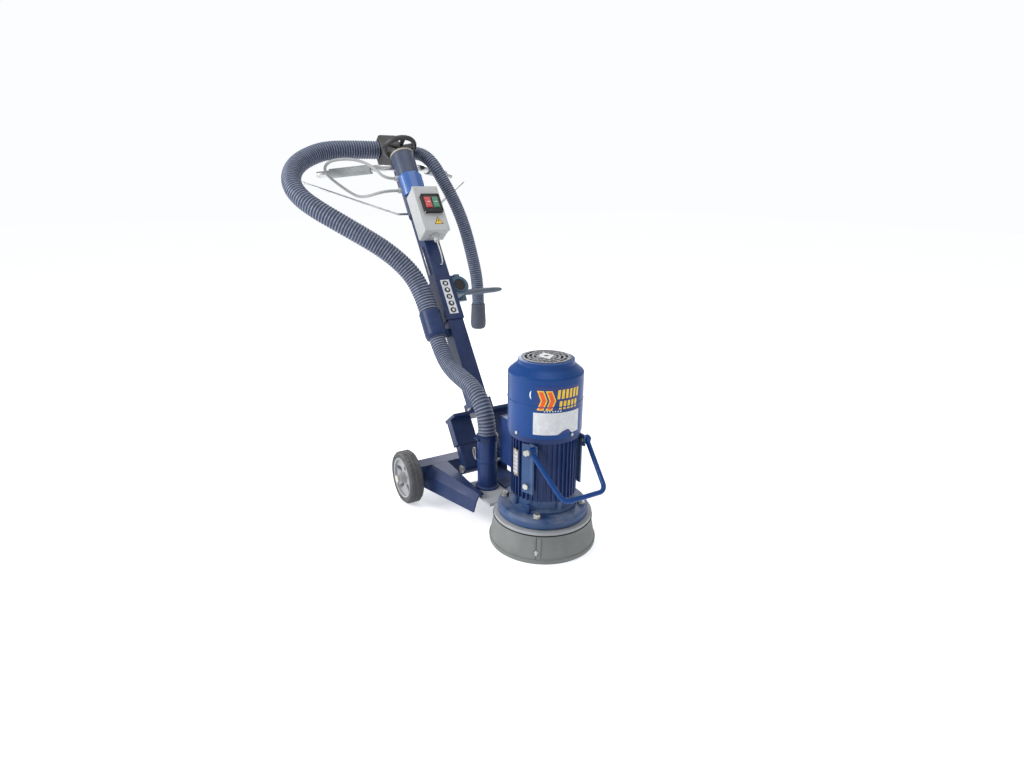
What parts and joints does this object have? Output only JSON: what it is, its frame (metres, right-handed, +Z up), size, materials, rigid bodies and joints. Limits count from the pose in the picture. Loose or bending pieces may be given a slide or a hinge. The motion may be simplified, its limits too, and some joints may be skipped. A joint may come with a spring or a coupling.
{
  "type": "concrete grinder",
  "caption": "Single-disc concrete floor grinder: electric motor over a skirted disc, wheeled chassis, tilting handle column with switch box, and suction hoses.",
  "frame": {"origin": "on the floor, under the centre of the machine's bounding box without its hoses and cable", "axes": "+X forwards, from the handle to the motor; +Y to the operator's left; +Z up"},
  "size_m": [1.3297, 0.7611, 1.119],
  "materials": {
    "skirt_grey": "scuffed grey flexible plastic sheet",
    "housing_grey": "dusty light grey paint",
    "paint_blue": "worn gloss blue paint over a cast surface",
    "paint_motor": "gloss dark blue paint",
    "paint_cowl": "gloss royal blue paint",
    "paint_dark": "semi-gloss navy blue paint",
    "paint_light": "light blue paint with worn edges",
    "paint_slate": "satin slate blue paint",
    "bolt_steel": "dull zinc-plated steel",
    "ground_steel": "machined bright steel",
    "winding_steel": "laminated steel and varnished windings",
    "segment_metal": "sintered metal and diamond grit",
    "bar_steel": "bright plated tube",
    "rim_grey": "moulded grey plastic",
    "tyre_rubber": "ribbed solid rubber",
    "grille_grey": "perforated grey grille",
    "black_plastic": "moulded black plastic",
    "ring_beige": "moulded beige plastic",
    "grip_grey": "soft pale grey grip",
    "saddle_blue": "bright blue gloss paint",
    "box_white": "moulded off-white plastic",
    "gland_grey": "moulded pale grey plastic",
    "inlet_blue": "moulded blue plastic",
    "lever_grey": "moulded slate grey plastic",
    "hose_grey": "ribbed slate blue flexible hose",
    "nozzle_grey": "soft dark grey cuff",
    "cable_grey": "smooth pale grey cable sheath",
    "button_red": "moulded red plastic",
    "button_green": "moulded green plastic"
  },
  "bodies": {
    "chassis": {"shroud_housing": "housing_grey", "base_plate": "paint_blue", "machine_bolts": "bolt_steel", "motor_foot": "paint_blue", "motor_frame": "paint_motor", "stator_core": "winding_steel", "bearings": "ground_steel", "upper_end_shield": "paint_motor", "fan_cowl": "paint_cowl", "cowl_grille": "grille_grey", "motor_screws": "bolt_steel", "terminal_box": "paint_motor", "terminal_lid": "paint_dark", "bail_brackets": "paint_light", "suction_port": "paint_motor", "hose_clamp": "paint_dark", "chassis_wings": "paint_dark", "axle_beam": "paint_dark", "axle": "bolt_steel", "pivot_bracket": "paint_dark", "pivot_pin": "bolt_steel", "hose_lower": "hose_grey"},
    "skirt": {"dust_skirt": "skirt_grey"},
    "rotor": {"motor_shaft": "ground_steel", "rotor_core": "winding_steel", "cooling_fan": "black_plastic", "drive_hub": "ground_steel", "grinding_disc": "ground_steel", "diamond_segments": "segment_metal"},
    "wheel_right": {"rim_right": "rim_grey", "tyre_right": "tyre_rubber"},
    "wheel_left": {"rim_left": "rim_grey", "tyre_left": "tyre_rubber"},
    "bail": {"bail_handle": "paint_cowl"},
    "column": {"yoke_head": "paint_dark", "yoke_legs": "paint_dark", "lower_column": "paint_dark", "column_sleeve": "paint_dark", "upper_column": "paint_slate", "tube_end_ring": "ring_beige", "handlebar": "bar_steel", "hand_grips": "grip_grey", "saddle": "saddle_blue", "switch_box": "box_white", "switch_cover": "box_white", "cable_glands": "gland_grey", "power_inlet": "inlet_blue", "cable_rod": "ground_steel", "hose_joint": "paint_dark", "hose_coupling": "black_plastic", "hose_upper": "hose_grey", "hose_tail": "hose_grey", "hose_nozzle": "nozzle_grey", "control_cable": "cable_grey"},
    "stop_button": {"red_button": "button_red"},
    "start_button": {"green_button": "button_green"},
    "adjuster": {"handwheel": "black_plastic", "spindle": "ground_steel"},
    "flap": {"inlet_flap": "inlet_blue"},
    "lever": {"tilt_lever": "lever_grey"}
  },
  "joints": [
    {"name": "skirt_float", "type": "slide", "parent": "chassis", "child": "skirt", "axis": [0, 0, 1], "range_m": [0, 0.0025]},
    {"name": "disc_spin", "type": "hinge", "parent": "chassis", "child": "rotor", "pos_m": [0.4674, 0, 0.1], "axis": [0, 0, 1], "continuous": true},
    {"name": "wheel_right_spin", "type": "hinge", "parent": "chassis", "child": "wheel_right", "pos_m": [0.0814, -0.249, 0.082], "axis": [0, 1, 0], "continuous": true},
    {"name": "wheel_left_spin", "type": "hinge", "parent": "chassis", "child": "wheel_left", "pos_m": [0.0814, 0.249, 0.082], "axis": [0, 1, 0], "continuous": true},
    {"name": "bail_swing", "type": "hinge", "parent": "chassis", "child": "bail", "pos_m": [0.5394, 0, 0.305], "axis": [0, -1, 0], "range_deg": [0, 95]},
    {"name": "column_tilt", "type": "hinge", "parent": "chassis", "child": "column", "pos_m": [0.1774, 0, 0.1135], "axis": [0, 1, 0], "range_deg": [0, 36], "deforming": ["hose_lower"]},
    {"name": "stop_press", "type": "slide", "parent": "column", "child": "stop_button", "axis": [-0.809, 0, -0.5878], "range_m": [0, 0.003], "stiffness_N_per_m": 300, "springref_m": -0.004},
    {"name": "start_press", "type": "slide", "parent": "column", "child": "start_button", "axis": [-0.809, 0, -0.5878], "range_m": [0, 0.003], "stiffness_N_per_m": 300, "springref_m": -0.004},
    {"name": "adjuster_turn", "type": "hinge", "parent": "column", "child": "adjuster", "pos_m": [-0.49363, 0, 1.07284], "axis": [-0.5878, 0, 0.809], "continuous": true},
    {"name": "flap_open", "type": "hinge", "parent": "column", "child": "flap", "pos_m": [-0.19642, 0.066, 0.64726], "axis": [0, -1, 0], "range_deg": [0, 100], "stiffness_Nm_per_rad": 0.02, "springref_deg": -34.38},
    {"name": "lever_lift", "type": "hinge", "parent": "column", "child": "lever", "pos_m": [-0.2511, 0.01, 0.5791], "axis": [0.809, 0, 0.5878], "range_deg": [0, 18]}
  ]
}
